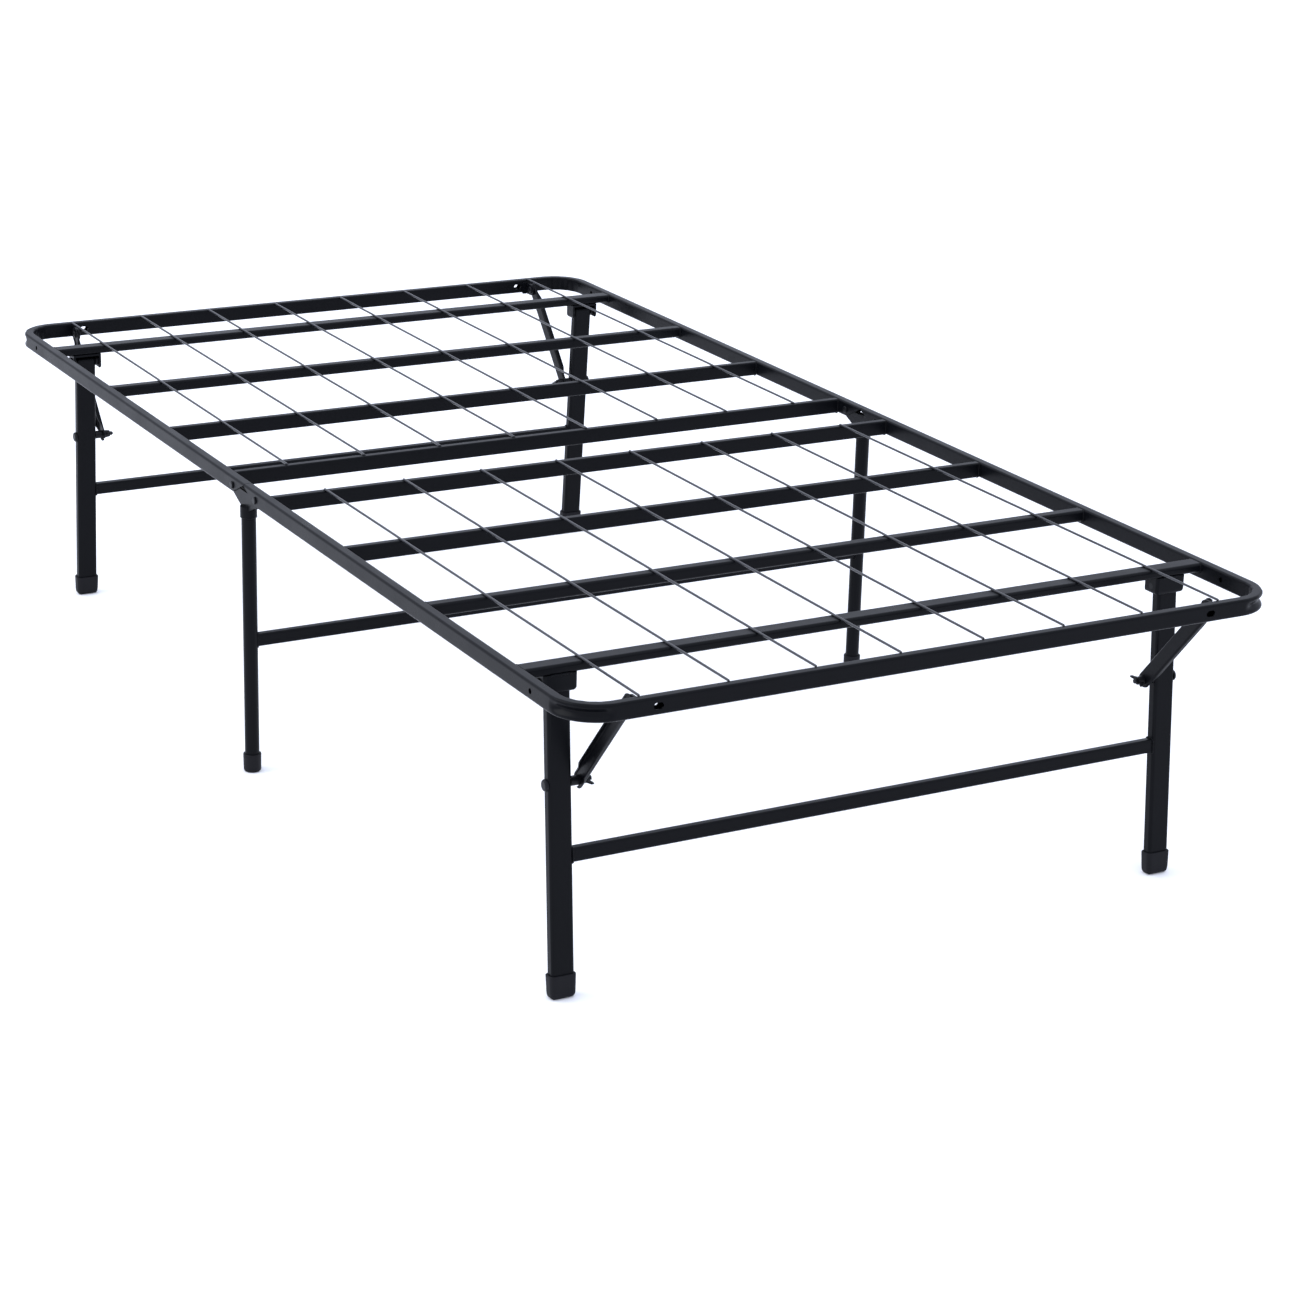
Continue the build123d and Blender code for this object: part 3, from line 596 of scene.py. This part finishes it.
def wing_nut_mesh(bm):
    """A cold-formed nut: a coned hub and two curved wings with thick round tips."""
    face = BRACE_X + NUT_IN
    lathe(bm, NUT_HUB, lambda a, b, h: (face + h, BOLT_Y + a, BOLT_Z + b), 32, loop=True)
    for turn in map(radians, NUT_TURNS):
        rings = []
        for a, low, high, thick in NUT_WING:
            outline = round_box(high - low, 2 * thick, min(thick * 0.95, 1.2))
            rings.append([(face + (high + low) / 2 + h, BOLT_Y - a * sin(turn) + b * cos(turn),
                           BOLT_Z + a * cos(turn) + b * sin(turn)) for h, b in outline])
        loft(bm, rings)


for half, way in HALVES.items():
    for side, across in SIDES.items():
        mirrored = (-across, way)
        brace_bm, eye_bm, nut_bm, ear_bm = bmesh.new(), bmesh.new(), bmesh.new(), bmesh.new()
        brace_mesh(brace_bm)
        brace_cutter(eye_bm)
        piece(f"{half}_{side}_pressed_brace", brace_bm, powder, f"{half}_{side}_brace",
              [f"{half}_{side}_brace"], [eye_bm], mirrored=mirrored)
        wing_nut_mesh(nut_bm)
        piece(f"{half}_{side}_formed_wing_nut", nut_bm, black_oxide, f"{half}_{side}_wing_nut",
              [f"{half}_{side}_wing_nut"], crease=45, mirrored=mirrored)
        for z in (BRACE_Z - EAR_BEAD_DROP, BRACE_Z + EAR_BEAD_DROP):    # along the ear's foot
            weld_bead(ear_bm, [(BRACE_X + u, EAR_Y, z) for u in (1.5, 9.5)], EAR_BEAD_R)
        piece(f"{half}_{side}_ear_welds", ear_bm, powder, half + "_half",
              crease=60, mirrored=mirrored)
        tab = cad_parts[f"{half}_{side}_brace_tab"]
        dress(tab, powder)
        soften(tab, EAR_EDGE)
    for name in ("brace_rivets", "leg_bolts", "bolt_sleeves"):
        dress(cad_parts[f"{half}_{name}"], black_oxide)

# ---------------------------------------------------------------------------------------
# Studio. A pale floor without an edge in view, a large soft box high on the left, and a pale
# surround, brighter overhead, that the coat mirrors along its top faces.
FLOOR_HALF = 30.0                                   # metres
SURROUND_LOW, SURROUND_HIGH, FULL_HEIGHT = 0.92, 1.7, 0.6
KEY_AT, KEY_AIM, KEY_WIDE, KEY_HIGH, KEY_WATTS = (-3.4, 0.8, 3.0), (0, 0, 0.3), 2.4, 3.2, 70

# Matt white card, which shows no highlight and no edge.
floor_paint = bpy.data.materials.new("pale_floor")
floor_paint.use_nodes = True
floor_skin = floor_paint.node_tree.nodes["Principled BSDF"]
floor_skin.inputs["Base Color"].default_value = linear("#f6f6f6")
floor_skin.inputs["Roughness"].default_value = 0.9

floor_mesh = bpy.data.meshes.new("floor")
floor_bm = bmesh.new()
bmesh.ops.create_grid(floor_bm, x_segments=2, y_segments=2, size=FLOOR_HALF)
floor_bm.to_mesh(floor_mesh)
floor_bm.free()
floor_mesh.materials.append(floor_paint)
floor = bpy.data.objects.new("floor", floor_mesh)
bpy.context.scene.collection.objects.link(floor)

world = bpy.data.worlds.new("surround")
bpy.context.scene.world = world
world.use_nodes = True
air = world.node_tree
air.nodes.clear()
height = add(air, "SeparateXYZ", {0: add(air, "TexCoord").outputs["Generated"]}).outputs["Z"]
glow = add(air, "MapRange", {"Value": height, "From Min": 0.0, "From Max": FULL_HEIGHT,
                             "To Min": SURROUND_LOW, "To Max": SURROUND_HIGH})
sky = add(air, "Background", {"Color": linear("#e8eeff"), "Strength": glow.outputs[0]})
add(air, "OutputWorld", {"Surface": sky.outputs[0]})
# Black next to white keeps its depth only without a film curve.
bpy.context.scene.view_settings.view_transform = "Standard"

lamp = bpy.data.lights.new("key", "AREA")
lamp.shape = "RECTANGLE"
lamp.size, lamp.size_y, lamp.energy = KEY_WIDE, KEY_HIGH, KEY_WATTS
key = bpy.data.objects.new("key", lamp)
key.location = KEY_AT
key.rotation_euler = (Vector(KEY_AIM) - Vector(KEY_AT)).to_track_quat("-Z", "Y").to_euler()
bpy.context.scene.collection.objects.link(key)

# The camera stands to the left of the foot end, at eye height, and looks down on the frame.
CAMERA_AT = Vector((-2053.771, -3901.162, 1659.487)) * MM
CAMERA_YAW, CAMERA_PITCH, CAMERA_ROLL = radians(29.202), radians(19.301), radians(1.559)
FOCAL_WIDTHS = 3250.967 / 1289     # focal length as a share of the frame's width
camera_data = bpy.data.cameras.new("camera")
camera_data.sensor_width = 36.0
camera_data.lens = FOCAL_WIDTHS * camera_data.sensor_width
camera = bpy.data.objects.new("camera", camera_data)
ahead = Vector((sin(CAMERA_YAW) * cos(CAMERA_PITCH), cos(CAMERA_YAW) * cos(CAMERA_PITCH),
                -sin(CAMERA_PITCH)))
level = Vector((cos(CAMERA_YAW), -sin(CAMERA_YAW), 0))
above = level.cross(ahead)
across_view = cos(CAMERA_ROLL) * level + sin(CAMERA_ROLL) * above
above = cos(CAMERA_ROLL) * above - sin(CAMERA_ROLL) * level
camera.matrix_world = Matrix((across_view, above, -ahead)).transposed().to_4x4()
camera.location = CAMERA_AT
bpy.context.scene.collection.objects.link(camera)
bpy.context.scene.camera = camera
